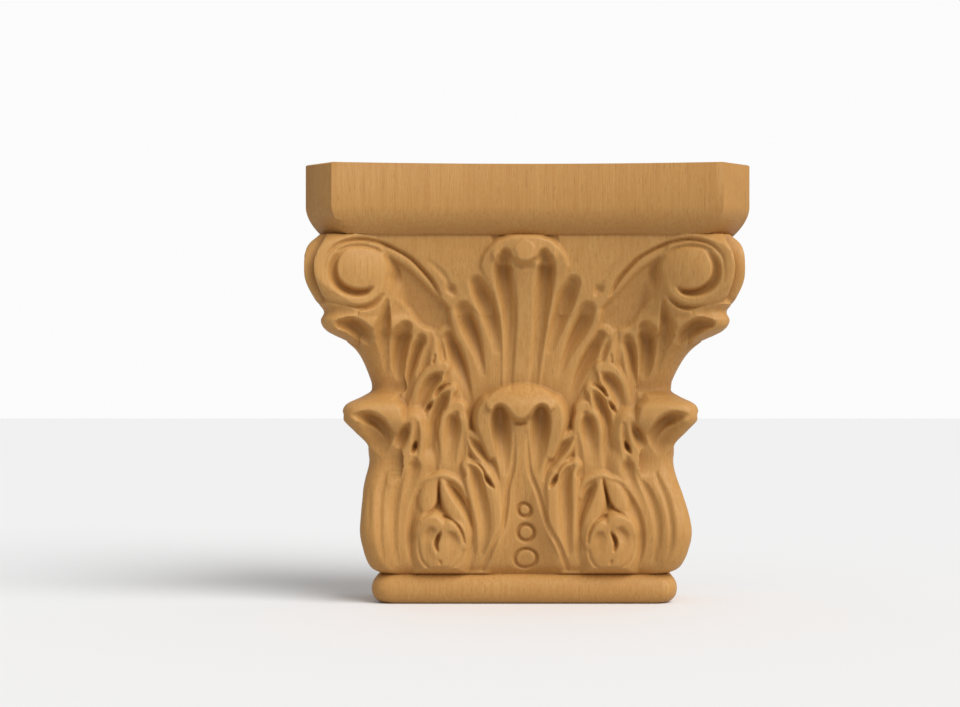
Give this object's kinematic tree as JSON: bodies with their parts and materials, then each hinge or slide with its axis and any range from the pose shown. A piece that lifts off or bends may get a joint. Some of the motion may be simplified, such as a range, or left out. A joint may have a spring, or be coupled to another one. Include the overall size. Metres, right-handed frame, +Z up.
{
  "type": "corinthian capital",
  "caption": "Flat-backed carved wood pilaster capital: moulded abacus, corner volutes and rows of acanthus leaves over a half-round astragal.",
  "frame": {"origin": "centre of the overall box, at the height of the underside", "axes": "+Z up through the abacus, +Y into the wall behind the flat back, carved front towards -Y, +X to the right seen from the front"},
  "size_m": [0.1206, 0.0444, 0.1207],
  "materials": {
    "wood": "sanded pale hardwood, satin, a little darker in the cuts"
  },
  "bodies": {
    "root": {"capital": "wood"}
  },
  "joints": []
}
